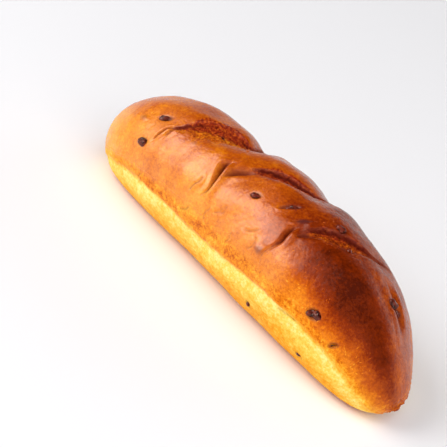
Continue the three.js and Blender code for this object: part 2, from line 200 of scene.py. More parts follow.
# stations of each cut: x, degrees, open width, depth, near lip, how torn its bed is, valley round it;
# its burn is how dark its bed is baked and how dark its painted shade is, in the crease of a fold
# or under the far lip of a slash;
# a slash drops at its far lip and its bed rises to the near lip: wall is the share of its width that
# the far side takes, shade how wide the painted shade under that lip is, redTo how far over the bed it is
# dark red;
# a fold sinks slowly and rises steeply to a ridge: from is where in its width it starts to sink, fade
# how many mm the ridge takes to run out
cuts = {
    "slashA": {"kind": "slash", "burnAndShade": 1.0, "wall": 0.4, "shade": 0.6, "redTo": 0.7, "stations": [
        (-57, -43, 0.8, 0.2, 0.1, 0.0, 0.3), (-54, -38.5, 2.0, 1.5, 0.3, 0.4, 0.8),
        (-50, -33, 4.8, 2.2, 0.1, 0.9, 1.6), (-45.5, -25, 11.0, 2.5, 0.0, 1.0, 2.0),
        (-41, -16, 16.0, 2.8, 0.0, 1.0, 2.4), (-36.5, -9, 17.5, 2.8, 0.0, 1.0, 3.0),
        (-32, -2.5, 16.0, 2.7, 0.0, 1.0, 3.8), (-28, 4, 12.0, 2.4, 0.0, 1.0, 4.8),
        (-25.8, 11, 7.4, 2.0, 0.0, 0.9, 5.6), (-25.5, 19, 4.4, 1.6, 0.0, 0.7, 6.0),
        (-27, 30, 3.0, 1.4, 0.0, 0.5, 5.8), (-29, 44, 2.5, 1.0, 0.0, 0.3, 4.4),
        (-32, 60, 1.0, 0.4, 0.0, 0.0, 1.6)]},
    "creaseA": {"kind": "fold", "from": -0.4, "fade": 1.0, "burnAndShade": 1.3, "stations": [
        (-57.6, -58, 0.7, 0.1, 0.0, 0, 0.0), (-57.2, -53, 1.2, 1.0, 0.4, 0, 0.2),
        (-56.9, -48, 1.4, 1.4, 0.5, 0, 0.4), (-56.1, -42, 1.4, 1.4, 0.4, 0, 0.4),
        (-54.6, -37, 0.9, 0.6, 0.1, 0, 0.0)]},
    "creaseA2": {"kind": "fold", "from": -0.4, "fade": 1.0, "burnAndShade": 1.3, "stations": [
        (-53.6, -50, 0.7, 0.1, 0.0, 0, 0.0), (-53.3, -45, 1.2, 1.0, 0.4, 0, 0.2),
        (-53, -40, 1.3, 1.2, 0.4, 0, 0.2), (-52, -35, 0.9, 0.5, 0.1, 0, 0.0)]},
    "foldB": {"kind": "fold", "from": -0.35, "fade": 2.6, "burnAndShade": 1.0, "stations": [
        (-16.8, -65, 0.7, 0.2, 0.1, 0, 0.1), (-15.8, -60, 1.0, 1.0, 0.6, 0, 0.5),
        (-15.5, -55, 1.2, 1.6, 1.1, 0, 0.7), (-16.2, -50, 1.5, 2.1, 1.4, 0, 1.0),
        (-17.2, -45, 2.0, 2.7, 1.6, 0, 1.2), (-18.2, -40, 2.7, 3.1, 1.8, 0, 1.2),
        (-18.9, -35.5, 3.0, 2.9, 1.8, 0, 1.0), (-18.8, -31.5, 2.2, 1.6, 1.3, 0, 0.6),
        (-18.4, -27.5, 0.8, 0.2, 0.3, 0, 0.1)]},
    "valleyB": {"kind": "fold", "from": -0.6, "fade": 2.5, "burnAndShade": 0.85, "stations": [
        (-14.6, -43.5, 0.9, 0.2, 0.1, 0, 0.0), (-13.9, -38, 2.0, 1.5, 0.3, 0, 0.4),
        (-12.6, -32, 3.0, 2.0, 0.4, 0, 0.9), (-10.4, -26, 3.2, 2.0, 0.3, 0, 1.2),
        (-7.8, -20.5, 2.6, 1.2, 0.2, 0, 1.0), (-5.4, -15.5, 1.4, 0.2, 0.0, 0, 0.4)]},
    "slashB": {"kind": "slash", "burnAndShade": 1.2, "wall": 0.3, "shade": 0.7, "redTo": 1.5, "stations": [
        (-9, -17.5, 2.4, 0.9, 0.2, 0.4, 1.0), (-6.4, -14, 6.0, 2.2, 0.3, 1.0, 1.6),
        (-3.3, -9.5, 8.6, 2.8, 0.5, 1.0, 2.0), (0, -5, 10.0, 3.0, 0.6, 1.0, 2.2),
        (3.5, 0, 10.2, 3.0, 0.6, 1.0, 2.6), (6.8, 4.8, 9.4, 2.8, 0.5, 1.0, 3.0),
        (10.2, 9.6, 7.8, 2.5, 0.4, 1.0, 3.4), (13.4, 14, 5.4, 1.9, 0.3, 0.8, 3.4),
        (16.2, 20, 2.6, 1.3, 0.3, 0.3, 3.0), (18.2, 32, 1.6, 0.9, 0.2, 0.0, 2.2),
        (18, 44, 1.4, 0.6, 0.1, 0.0, 1.5), (16.5, 58, 0.8, 0.2, 0.0, 0.0, 0.5)]},
    "foldC": {"kind": "fold", "from": -0.4, "fade": 9.0, "burnAndShade": 1.0, "stations": [
        (27.2, -70, 0.8, 0.1, 0.0, 0, 0.0), (26.2, -64, 1.1, 0.6, 0.2, 0, 0.0),
        (26.8, -58.5, 1.2, 0.6, 0.4, 0, 0.0), (28, -53, 1.4, 1.0, 0.8, 0, 0.0),
        (28.6, -47.5, 1.8, 1.9, 1.2, 0, 0.0), (28.2, -42.5, 2.0, 2.7, 1.4, 0, 0.0),
        (28.0, -38, 1.9, 2.4, 1.4, 0, 0.0), (28.2, -34.5, 1.4, 1.2, 0.9, 0, 0.0),
        (28.6, -31, 0.7, 0.2, 0.1, 0, 0.0)]},
    "valleyC": {"kind": "fold", "from": -0.5, "fade": 2.5, "burnAndShade": 0.8, "stations": [
        (31.8, -37, 0.8, 0.2, 0.0, 0, 0.0), (32.8, -34.5, 1.6, 1.6, 0.2, 0, 0.3),
        (34.4, -30.5, 2.2, 1.8, 0.3, 0, 0.6), (36.4, -26, 2.2, 1.2, 0.2, 0, 0.6),
        (38.8, -20, 1.0, 0.1, 0.0, 0, 0.2)]},
    "slashC": {"kind": "slash", "burnAndShade": 1.0, "wall": 0.2, "shade": 0.85, "redTo": 0.5, "stations": [
        (32, -31, 1.2, 0.6, 0.1, 0.2, 0.4), (34.2, -26, 3.4, 1.9, 0.1, 0.9, 1.0),
        (37, -19.5, 6.4, 2.4, 0.1, 1.0, 1.6), (40.2, -12, 8.0, 2.6, 0.1, 1.0, 1.8),
        (43.6, -5.5, 8.2, 2.6, 0.1, 1.0, 1.8), (47, 2, 7.6, 2.4, 0.1, 1.0, 1.8),
        (49.8, 9, 6.0, 2.2, 0.1, 1.0, 1.8), (52.4, 15.5, 4.6, 1.8, 0.2, 0.9, 1.8),
        (54.4, 23, 3.4, 1.3, 0.3, 0.5, 1.8), (56.6, 35, 2.0, 0.9, 0.3, 0.0, 1.4),
        (58.6, 48, 0.8, 0.2, 0.0, 0.0, 0.4)]},
    "dentD": {"kind": "fold", "from": -1.0, "fade": 3.0, "burnAndShade": 0.1, "stations": [
        (65, 16, 1.0, 0.1, 0.0, 0, 0.2), (68, 16.5, 2.8, 0.9, 0.4, 0, 0.6),
        (71, 17, 4.2, 1.6, 0.7, 0, 1.0), (75, 17.5, 4.8, 1.8, 0.7, 0, 1.2),
        (78.5, 18, 4.0, 1.3, 0.5, 0, 0.9), (81.5, 18.5, 2.6, 0.5, 0.2, 0, 0.4),
        (84, 19, 1.0, 0.1, 0.0, 0, 0.0)]},
}

# relief of the crust, in millimetres
crust = {
    "swell": 0.9,  # how far the crown stands proud
    "uneven": 0.2,  # height of each slow wave
    "waves": 6,
    "wavePitch": (52.0, 6.0),  # a wave's length: the first number, less the second for each wave so far
    "reliefFrom": (1.0, 9.0),  # over this height above the base the relief sets in
    "shoulder": (62.0, 90.0),  # over these degrees the crown's own relief runs out
    "cutReach": 28.0,  # nothing changes farther from a cut
    "valleyReach": 11.0,  # the broad dip round a cut
    "blendReach": 15.0,  # over this reach a cut's stations blend into each other
    "raggedLip": 0.5,  # how far the lips wander
    "tornHeight": 0.6,  # height of the torn crumb in the slashes
    "borderHeight": (23.0, 27.4),  # lower edge of the browned crust, far half and near half
    "borderFrom": (-15.0, 42.0),  # along here the one height goes over into the other
    "borderFar": (3.6, 1.0),  # how it runs down to each end
    "borderNear": (6.0, 1.1),
    "borderWander": (0.8, 0.25),  # broadly and finely
    "swellTo": 95.0,  # the swell and the waves stop short of the tips
    "swellFade": 25.0,
    "step": 0.7,  # how far the pale band is set back
    "stepEdge": (-0.9, 0.2),  # from below the border to above it
    "easyFrom": (46.0, 80.0),  # along here the step grows soft
    "easyEdge": (-3.0, 2.5),  # how much wider its edge is then
    "groove": 0.45,  # under the border
    "peel": 0.12,  # height of the skin's fine unevenness
    "mottle": 0.14,  # height of the stretched skin's grain
    "mottleWidth": (4.0, 5.0),  # at the ends, and how much more in the middle
    "cragHeight": 1.5,  # torn lower edge of the near tip
    # broad rises and hollows of the crown: x, degrees, reach along, reach round, height
    "swells": [(-46, 42, 20, 17, -1.7), (12, 45, 8, 12, -0.8), (62, 44, 11, 12, 0.9), (86, 40, 12, 14, -0.8),
               (-98, -10, 12, 30, 0.7), (-18, 33, 5, 10, 0.9)],
    # thin creases in the skin: width, depth (which also sets how dark the painted shade along it is) and the
    # places
    #     # they run through
    "wrinkles": [
        (0.9, 0.3, [(7, -77), (8, -73), (7, -69)]),
        (0.9, 0.35, [(19, -68), (20, -64), (19, -59)]), (0.8, 0.25, [(-3, -64), (-2, -61), (-3, -57)]),
        (1.0, 0.4, [(-23, -84), (-20, -81), (-19, -78)]), (1.0, 0.35, [(12, -60), (15, -57), (17, -53)]),
        (1.0, 0.35, [(-52, -96), (-54, -91), (-53, -87)]), (0.9, 0.25, [(-9, -76), (-10, -72), (-9, -67)]),
        (1.2, 0.35, [(45, -86), (50, -84), (55, -82)]), (0.9, 0.3, [(-6, -67), (-4, -63), (-4, -60)]),
        (1.1, 0.4, [(16, -30), (18, -24), (20, -17)]), (1.1, 0.35, [(25, -30), (27, -25), (29, -19)]),
        (1.0, 0.45, [(-23.2, -66), (-22.8, -61), (-21.6, -57), (-21.8, -53)]),
    ],
}

chips = {
    # x, degrees, length, width, turn, how far it stands out
    "front": [
        (-62, -63, 4.6, 3.6, 20, 1.0), (-62, -34, 6.2, 3.2, 28, 1.0), (-38, -9, 3.2, 2.0, 40, 0.4),
        (4, -36, 4.3, 2.9, 20, 1.0), (18.3, -22.5, 8.4, 2.2, 54, 0.1), (38, 1, 4.6, 3.2, 30, 0.9),
        (49, -5, 2.4, 1.8, 0, 0.5), (60, -65, 6.2, 4.2, 35, 1.1), (73.5, -68, 5.4, 1.8, 60, -0.1),
        (73.6, 12, 5.0, 3.4, 50, 1.3), (76.2, 20.5, 4.4, 3.0, 50, 1.2), (28, -119, 2.6, 2.2, 0, 0.5),
        (61, -117, 3.4, 2.4, 20, 0.5),
    ],
    # those that only show as a bump under the skin: x, degrees, length, width, turn, rise, how dark
    "buried": [
        (-71, -45, 4.6, 3.8, 0, 0.5, 0.4), (23.5, -63, 5.0, 3.6, 0, 0.6, 0.6),
        (27.8, -24, 7.4, 3.2, 58, 0.5, 1.0), (-39, -37, 4.0, 3.0, 0, 0.2, 0.3),
        (24, -56, 4.0, 3.0, 0, 0.4, 0.2),
    ],
    "backCount": 12,
    "backDegrees": (56.0, 98.0),
    "backReach": 84.0,
    "backScatter": 1.3,  # in shares of the space from one to the next
    "backLength": (2.4, 6.0),
    "backSlim": (0.55, 0.85),  # width as a share of the length
    "backProud": (0.1, 1.0),
    "thick": 3.4,
    "rim": 0.05,  # the skin is raised round a chip
    "gap": 0.16,
    "bed": 1.0,  # the crust sinks by this much under it
    # how dark the painted shade is in the gap round a chip
    "gapShade": 0.7,
    "rough": 0.005,  # metres for each unit of noise
    "lumps": 240.0,
    "specular": 0.42,
    "roughness": 0.17,
    "roughnessSpan": 0.2,
    "dents": 0.0004,  # metres
    "dentStrength": 0.6,
}


# a smooth line through the stations, with every column carried along
def stationLine(stations, perSpan=8):
    rows = np.array(stations, float)
    rows[:, 1] = overCrust(rows[:, 1])
    padded = np.vstack((2 * rows[0] - rows[1], rows, 2 * rows[-1] - rows[-2]))
    line = []
    for a, b, c, d in zip(padded[:-3], padded[1:-2], padded[2:-1], padded[3:]):
        for t in np.arange(perSpan) / perSpan:
            place = 2 * b + (c - a) * t + (2 * a - 5 * b + 4 * c - d) * t ** 2
            place = place + (3 * b - a - 3 * c + d) * t ** 3
            line.append(np.concatenate((place[:2] / 2, blend(b, c, t)[2:])))
    line.append(rows[-1])
    return np.array(line)


# nearest place on a line: distance, signed distance across (plus towards the near end), way along,
# and the line's other columns there
def nearestOnLine(line, x, over):
    best = np.full(x.shape, 1e9)
    across, along = np.zeros(x.shape), np.zeros(x.shape)
    columns = np.zeros(x.shape + (line.shape[1] - 2,))
    travelled = 0.0
    for start, end in zip(line[:-1], line[1:]):
        run = end[:2] - start[:2]
        length = math.hypot(*run)
        part = np.clip(((x - start[0]) * run[0] + (over - start[1]) * run[1]) / length ** 2, 0, 1)
        gapX, gapY = x - start[0] - part * run[0], over - start[1] - part * run[1]
        far = np.hypot(gapX, gapY)
        nearer = far < best
        side = np.where(gapX * run[1] - gapY * run[0] >= 0, 1, -1)
        across = np.where(nearer, side * far, across)
        along = np.where(nearer, travelled + part * length, along)
        columns = np.where(nearer[..., None], blend(start[2:], end[2:], part[..., None]), columns)
        best = np.where(nearer, far, best)
        travelled += length
    return best, across, along, columns


# the points that lie no farther than this along the loaf from a line
def besideLine(line, x, reach):
    return (x > line[:, 0].min() - reach) & (x < line[:, 0].max() + reach)


# a line's columns, blended smoothly between its stations
def columnsRound(line, x, over):
    total, blended = np.zeros(x.shape), np.zeros(x.shape + (line.shape[1] - 2,))
    for point in line[::4]:
        weight = (1 + ((x - point[0]) ** 2 + (over - point[1]) ** 2) / crust["blendReach"] ** 2) ** -4
        total, blended = total + weight, blended + weight[..., None] * point[2:]
    return blended / total[..., None]


# slow waves, each with a heading and a length of its own
def waves(x, over):
    height = 0
    for k in range(1, crust["waves"] + 1):
        heading, pitch = 2.4 * k, crust["wavePitch"][0] - crust["wavePitch"][1] * k
        way = (x * math.cos(heading) + over * math.sin(heading)) / pitch
        height = height + crust["uneven"] * np.sin(2 * math.pi * way + 1.7 * k * k)
    return height


# height of the browned crust's lower edge above the base
def borderAt(x):
    share = np.clip(x / (loaf["length"] / 2), -1, 1)
    height = blend(*crust["borderHeight"], smooth(x, *crust["borderFrom"]))
    far, near = roundOff(share, crust["borderFar"]), roundOff(share, crust["borderNear"])
    return height * np.where(x < 0, far, near)


# one cut's height, and masks for how torn it is, how burnt, and where it gets painted shade:
# in a fold's crease or under a slash's far lip
def cutRelief(cut, x, over):
    line = stationLine(cut["stations"])
    close = besideLine(line, x, crust["cutReach"])
    relief, torn, burnt, lipShade = (np.zeros(x.shape) for _ in range(4))
    x, over = x[close], over[close]
    far, across, along, columns = nearestOnLine(line, x, over)
    calm = columnsRound(line, x, over)
    valley = calm[..., 4]
    if cut["kind"] == "fold":
        columns = blend(columns, calm, smooth(far, 1.5, 6)[..., None])
    opened, depth, lip, tear = (columns[..., k] for k in range(4))
    where = np.stack((x, over, 0 * x), -1)
    across = across + crust["raggedLip"] * layeredNoise(where, 3.5, 5) * np.minimum(opened / 4, 1)
    # share is 0 at the far lip and 1 at the near lip
    share = across / opened + 0.5
    dip = valley * (0.6 * bump(far, crust["valleyReach"]) + 0.4 * bump(far, 0.5 * crust["valleyReach"]))
    if cut["kind"] == "fold":
        sunk = smooth(share, cut["from"], 0.4) * (1 - smooth(share, 0.45, 1.1))
        ridgeAt = 1.6
        beyond = (share - ridgeAt) * opened
        fade = np.maximum(cut["fade"], 0.75 * opened)
        crest = np.where(beyond < 0, bump(share - ridgeAt, 0.75), bump(beyond, fade))
        ridge = lip * (1.15 * crest + 0.35 * bump(share - cut["from"] + 0.3, 0.5))
        relief[close] = ridge - depth * sunk - dip
        # painted shade in the fold's crease, on the slope that faces away from the light
        shaded = smooth(share, 0.6 * cut["from"], 0.3) * (1 - smooth(share, 0.4, 0.9))
        lipShade[close] = cut["burnAndShade"] * shaded * np.minimum(depth / 2, 1)
        return relief, torn, burnt, lipShade
    sunk = smooth(share, -0.05, cut["wall"]) * (1 - smooth(share, -0.2, 1.1))
    nearLip = share + 0.3 * layeredNoise(where, 3, 19)
    inside = smooth(share, -0.02, 0.12) * (1 - smooth(nearLip, 0.7, 1.1)) * tear
    fibre = np.stack((along / 2.4, across / 1.7, 0 * along), -1)
    crumb = 0.7 * layeredNoise(fibre, 1.0, 11, 2) + layeredNoise(where, 1.5, 17, 2)
    relief[close] = lip * bump(share - 1.15, 0.3) - depth * sunk - dip + crust["tornHeight"] * crumb * inside
    torn[close] = inside
    edge = share + 0.14 * layeredNoise(where, 2.4, 23)
    reach = cut["redTo"]
    burnt[close] = cut["burnAndShade"] * smooth(edge, -0.14, 0.06) * (1 - smooth(edge, 0.3 * reach, reach)) * tear
    # the painted shade under the far lip grows faint where a slash opens wide
    underLip = across + (0.5 - 0.5 * cut["wall"]) * opened + 0.3 * layeredNoise(where, 1.8, 29)
    dark = bump(underLip, cut["shade"]) * blend(1, 0.3, smooth(opened, 11, 16))
    lipShade[close] = cut["burnAndShade"] * dark * np.minimum(depth / 2, 1)
    return relief, torn, burnt, lipShade


# each crease sinks in the middle, where it gets painted shade, and is raised on the near side
def wrinkleRelief(x, over):
    height, dark = np.zeros(x.shape), np.zeros(x.shape)
    for width, depth, places in crust["wrinkles"]:
        line = stationLine(places, 4)
        close = besideLine(line, x, 4)
        far, across, _, _ = nearestOnLine(line, x[close], over[close])
        height[close] += depth * (0.6 * bump(across - 0.9 * width, 0.8 * width) - bump(far, 0.5 * width))
        dark[close] = np.maximum(dark[close], 1.2 * depth * bump(far, 0.4 * width))
    return height, dark


# distance from a spot in shares of its size
def spotShare(x, over, spot):
    dx, dy = x - spot[0], over - overCrust(spot[1])
    c, s = math.cos(math.radians(spot[4])), math.sin(math.radians(spot[4]))
    return np.hypot((dx * c + dy * s) / (spot[2] / 2), (dy * c - dx * s) / (spot[3] / 2))


# a repeatable number from 0 to 1
def draw(n):
    return (math.sin(n * 127.1 + 11.7) * 43758.5453) % 1


# the chips that show, those on the back placed by draws
def allChips():
    c = chips
    places = list(c["front"])
    for k in range(c["backCount"]):
        share = (k + 0.5 + c["backScatter"] * (draw(k) - 0.5)) / c["backCount"]
        x = blend(-c["backReach"], c["backReach"], share)
        degrees = blend(*c["backDegrees"], draw(k + 40))
        long, slim = blend(*c["backLength"], draw(k + 80)), blend(*c["backSlim"], draw(k + 120))
        proud = blend(*c["backProud"], draw(k + 200))
        places.append((x, degrees, long, long * slim, 180 * draw(k + 160), proud))
    return places


# height of the crust round the chips and over the buried ones, the painted shade in the gap round each chip,
# # and the darker crust over the buried ones
def spotRelief(x, over):
    height, dark = np.zeros(x.shape), np.zeros(x.shape)
    for place in allChips():
        share = spotShare(x, over, place)
        height += chips["rim"] * bump(share - 1.6, 0.5) - chips["gap"] * bump(share - 1.0, 0.25)
        height -= chips["bed"] * (1 - smooth(share, 0.55, 0.95))
        # painted shade in the gap round the chip
        dark = np.maximum(dark, chips["gapShade"] * bump(share - 0.9, 0.28))
    for place in chips["buried"]:
        share = spotShare(x, over, place)
        height += place[5] * (1 - smooth(share, 0.0, 1.4))
        dark = np.maximum(dark, place[6] * (1 - smooth(share, 0.3, 1.2)))
    return height, dark


# the plain form's relief in millimetres, with what the finish reads
def crustRelief(point, degrees):
    x, z = point[..., 0], point[..., 2]
    over = overCrust(degrees)
    foot = smooth(z, *crust["reliefFrom"])
    inner = smooth(crust["swellTo"] - np.abs(x), 0, crust["swellFade"])
    shoulder = 1 - smooth(np.abs(degrees), *crust["shoulder"])
    broadly, finely = crust["borderWander"]
    above = z - borderAt(x) - broadly * layeredNoise(point, 9, 3, 4) - finely * softNoise(point, 1.6, 8)
    easy = smooth(x, *crust["easyFrom"])
    low, high = (edge + easy * more for edge, more in zip(crust["stepEdge"], crust["easyEdge"]))
    setBack = crust["step"] * (1 - smooth(above, low, high))
    broken = np.clip(softNoise(point, 11, 61) + 0.35, 0, 1)
    groove = crust["groove"] * bump(above + 0.75, 0.45) * broken * (1 - easy)
    height = foot * (inner * (crust["swell"] * shoulder + waves(x, over)) - setBack - groove)
    torn, burnt, lipShade = (np.zeros(x.shape) for _ in range(3))
    for cut in cuts.values():
        side = shoulder if cut["kind"] == "slash" else 1
        relief, oneTorn, oneBurnt, oneShade = cutRelief(cut, x, over)
        height = height + relief * side
        torn, burnt = np.maximum(torn, oneTorn * side), np.maximum(burnt, oneBurnt * side)
        lipShade = np.maximum(lipShade, oneShade * side)
    # the creases' painted shade joins that of the cuts
    creases, creaseShade = wrinkleRelief(x, over)
    height, lipShade = height + creases, np.maximum(lipShade, creaseShade)
    for middle, degree, reach, reachRound, rise in crust["swells"]:
        height = height + rise * bump(x - middle, reach) * bump(over - overCrust(degree), reachRound)
    # the torn lower edge of the near tip, on its back
    crag = smooth(x, 88, 95) * smooth(point[..., 1], -7, 1) * (1 - smooth(z, 9, 14)) * smooth(z, 0.4, 2)
    height = height + crag * crust["cragHeight"] * (layeredNoise(point, 3.2, 71) - 0.2)
    torn, burnt = np.maximum(torn, 0.8 * crag), np.maximum(burnt, 0.35 * crag)
    # fine unevenness of the skin, and the grain where it is stretched
    skin = smooth(above, 0, 3) * (1 - torn)
    streaks = layeredNoise(np.stack((x / 2.0, over / 6.0, 0 * x), -1), 1.0, 25)
    peel = layeredNoise(point, 3.2, 21) + 0.7 * streaks
    mottle = smooth(above, -0.1, 1.2) * (1 - smooth(above, *mottleSpan(x)))
    height = height + crust["peel"] * peel * blend(0.4, 1, skin) * foot
    height = height + crust["mottle"] * layeredNoise(point, 1.7, 27, 2) * mottle
    return height, {"torn": torn, "burnt": burnt, "lipShade": lipShade, "above": above, "mottle": mottle}


# how far above the border the mottled, stretched skin reaches
def mottleSpan(x):
    ends, more = crust["mottleWidth"]
    width = ends + more * bump(x - 5, 45)
    return 0.55 * width, 1.35 * width


# degrees of the points round a section, from the front over the ridge, the back and the base
def ringDegrees():
    crown = np.linspace(-90, 90, loaf["crownSteps"] + 1)
    corner = np.linspace(90, 180, loaf["cornerSteps"] + 1)[1:]
    base = np.linspace(180, 220, loaf["baseSteps"] + 1)[1:-1]
    across = np.where(base <= 200, base, base - 400)
    return np.concatenate((crown, corner, across, -corner[::-1]))


# how far a section leans here, as a share of the slant
def leanAt(degrees):
    turn = np.interp(np.abs(degrees), (0, 90, 180, 200), (0, 126, 162, 180))
    return np.sign(degrees) * np.sin(np.radians(turn))


# sections spaced evenly over the surface from tip to tip
def sectionShares():
    fine = np.sin(np.linspace(-math.pi / 2, math.pi / 2, 4001))
    half, top, _, middle, _ = sectionAt(fine * loaf["length"] / 2)
    outward = 0.7 * np.hypot(np.diff(half), np.diff(top - middle))
    steps = np.hypot(np.diff(fine) * loaf["length"] / 2, outward)
    way = np.concatenate(([0], np.cumsum(steps)))
    return np.interp(np.linspace(0, way[-1], loaf["lengthSteps"] + 1)[1:-1], way, fine)


# outward normals of a grid whose rows are closed rings
def normalsOf(grid):
    around = np.roll(grid, -1, 1) - np.roll(grid, 1, 1)
    along = np.gradient(grid, axis=0)
    normal = np.cross(along, around)
    return normal / np.maximum(np.linalg.norm(normal, axis=-1, keepdims=True), 1e-9)


# rings joined into one closed skin with a point at each end
def closedMesh(name, rings, first, last):
    count, around = rings.shape[0], rings.shape[1]
    points = np.vstack((first, rings.reshape(-1, 3), last)) * mm
    at = 1 + np.arange(count * around).reshape(count, around)
    after = np.roll(at, -1, 1)
    quads = np.stack((at[:-1], at[1:], after[1:], after[:-1]), -1).reshape(-1, 4)
    near = len(points) - 1
    caps = [(0, int(a), int(b)) for a, b in zip(at[0], after[0])]
    caps += [(near, int(b), int(a)) for a, b in zip(at[-1], after[-1])]
    mesh = bpy.data.meshes.new(name)
    mesh.from_pydata(points.tolist(), [], quads.tolist() + caps)
    mesh.polygons.foreach_set("use_smooth", np.ones(len(mesh.polygons), bool))
    return addPiece(name, mesh)


def addPiece(name, mesh):
    item = bpy.data.objects.new(name, mesh)
    bpy.context.scene.collection.objects.link(item)
    return item


# values for every point, with one for each of the two tips
def addAttribute(mesh, name, values, ends):
    flat = np.concatenate(([ends[0]], np.asarray(values, float).ravel(), [ends[1]]))
    mesh.attributes.new(name, "FLOAT", "POINT").data.foreach_set("value", flat.astype(np.float32))


def makeLoaf():
    degrees = np.broadcast_to(ringDegrees(), (loaf["lengthSteps"] - 1, ringDegrees().size))
    share = sectionShares()[:, None]
    x = share * loaf["length"] / 2 + loaf["slant"] * (1 - share ** 2) * leanAt(degrees)
    plain = plainPoint(x, degrees)
    height, masks = crustRelief(plain, degrees)
    spots, masks["spot"] = spotRelief(plain[..., 0], overCrust(degrees))
    shape = plain + normalsOf(plain) * (height + spots)[..., None]
    low, high = shape.min((0, 1)), shape.max((0, 1))
    shift = np.array([-(low[0] + high[0]) / 2, -(low[1] + high[1]) / 2, -low[2]])
    tips = [np.array([-loaf["length"] / 2, 0, loaf["farEnd"]["tip"]]) + shift,
            np.array([loaf["length"] / 2, 0, loaf["nearEnd"]["tip"]]) + shift]
    piece = closedMesh("crust", shape + shift, *tips)
    masks["bake"] = browningAndPaintedLight(plain, degrees, masks)
    masks["blister"] = blisterShare(plain, masks)
    masks["washed"] = eggWash(plain, degrees)
    for name, values in masks.items():
        ends = {"bake": (0.4, 0.6), "above": (2, 2)}.get(name, (0, 0))
        addAttribute(piece.data, name, values, ends)
    return piece, shift


# how close together the tiny blisters stand: closest on the near third of the crown
def blisterShare(plain, masks):
    crown = smooth(masks["above"], 1, 6) * (1 - masks["torn"])
    patches = smooth(layeredNoise(plain, 12, 81), -0.2, 0.6)
    return crown * blend(0.12, 1, smooth(plain[..., 0], 20, 60)) * patches


# shares of the egg wash that are missing
wash = {
    "bare": 0.75,
    "nearEnd": 0.8,  # how bare the near end's top is
    "thirdFold": 0.75,  # and the crown before the third fold
    "farEnd": 0.65,
    "patches": 0.3,
}


# how thick the egg wash is, which makes the gloss
def eggWash(plain, degrees):
    x = plain[..., 0]
    # bare are the front and the top of the near third, and a patch before the third fold
    bare = np.maximum(smooth(x, 36, 46) * smooth(-degrees, 0, 20), wash["nearEnd"] * smooth(x, 48, 64))
    bare = np.maximum(bare, wash["thirdFold"] * bump(x - 25, 8) * bump(degrees + 28, 16))
    patches = smooth(layeredNoise(plain, 7, 91), -0.7, 0.3)
    farEnd = 1 - wash["farEnd"] * smooth(-x, 55, 78)
    return (1 - wash["bare"] * bare) * farEnd * blend(1 - wash["patches"], 1, patches)


# how far each part is baked, from pale (0) to the deepest brown (1), and what is added or taken off;
# # some of it is painted light: a painted highlight on the third fold's ridge, and partly painted shade on
# the crown's top
brownedAndPaintedLight = {
    "band": 0.08,
    "bandFoot": 0.2,  # more down towards the base
    "crown": 0.45,
    # browner up towards the ridge: partly real browning, partly painted shade on the crown's top against the
    # lit flank
    "ridge": 0.17,  # more up towards the ridge
    "nearEnd": 0.385,  # more towards the near end
    "nearBack": 0.72,  # share of that which is missing over the ridge
    "nearTip": 0.25,  # and at the tip
    "farEnd": 0.13,  # less towards the far end
    # paler on the ridge of the third fold: a painted highlight on its lit side
    "thirdFold": 0.1,  # less on the ridge of the third fold
    "tornBed": 0.5,
    "tornBedNear": 0.12,
    "underside": 0.5,
    "cloud": 0.07,
    "smallCloud": 0.06,
    "streak": 0.05,
    # how soft the border is, in millimetres: in the middle, and how much more towards the near third,
    # the near end and the far end
    "soft": (0.8, 1.6, 3.6, 3.5),
}


def browningAndPaintedLight(plain, degrees, masks):
    b = brownedAndPaintedLight
    x, z = plain[..., 0], plain[..., 2]
    above = masks["above"]
    over = overCrust(degrees)
    band = b["band"] + b["bandFoot"] * smooth(-above, 0, 17) + 0.04 * layeredNoise(plain, 14, 41)
    # browner up towards the ridge, partly as painted shade on the top
    crown = b["crown"] + b["ridge"] * smooth(degrees, -62, -16) * smooth(above, 4, 20)
    # the near end is darkest, from lower down towards its tip
    near = smooth(x, 42, 74)
    nearEnd = b["nearEnd"] * smooth(x, 2, 62) * smooth(above, blend(7, 3, near), blend(24, 17, near))
    nearEnd = nearEnd * (1 - b["nearBack"] * smooth(x, 20, 50) * smooth(degrees, -32, 6))
    nearEnd = nearEnd * (1 - b["nearTip"] * smooth(x, 82, 98))
    # paler towards the far end, and a painted highlight on the lit ridge of the third fold
    paler = b["farEnd"] * smooth(-x, 48, 84) + b["thirdFold"] * bump(x - 33, 5) * bump(degrees + 50, 12)
    # clouds of lighter and darker crust, and streaks that run round it
    streaks = layeredNoise(np.stack((x / 5.0, over / 16.0, 0 * x), -1), 1.0, 59)
    cloud = b["cloud"] * layeredNoise(plain, 26, 47) + b["smallCloud"] * layeredNoise(plain, 8, 53)
    cloud = cloud + b["streak"] * streaks
    tornBed = b["tornBed"] + b["tornBedNear"] * smooth(x, 20, 40) + cloud
    full = blend(crown + nearEnd - paler + cloud, tornBed, 0.7 * masks["torn"])
    underside = b["underside"] + 0.06 * layeredNoise(plain, 9, 57)
    middle, third, nearTip, farTip = b["soft"]
    soft = middle + third * smooth(x, 32, 62) + nearTip * smooth(x, 66, 94) + farTip * smooth(-x, 55, 94)
    sides = blend(band, full, smooth(above, -soft, 0.9 * soft))
    return blend(underside, sides, smooth(z, 0.2, 2.5))


print("shaping the loaf")
crustPiece, crustShift = makeLoaf()


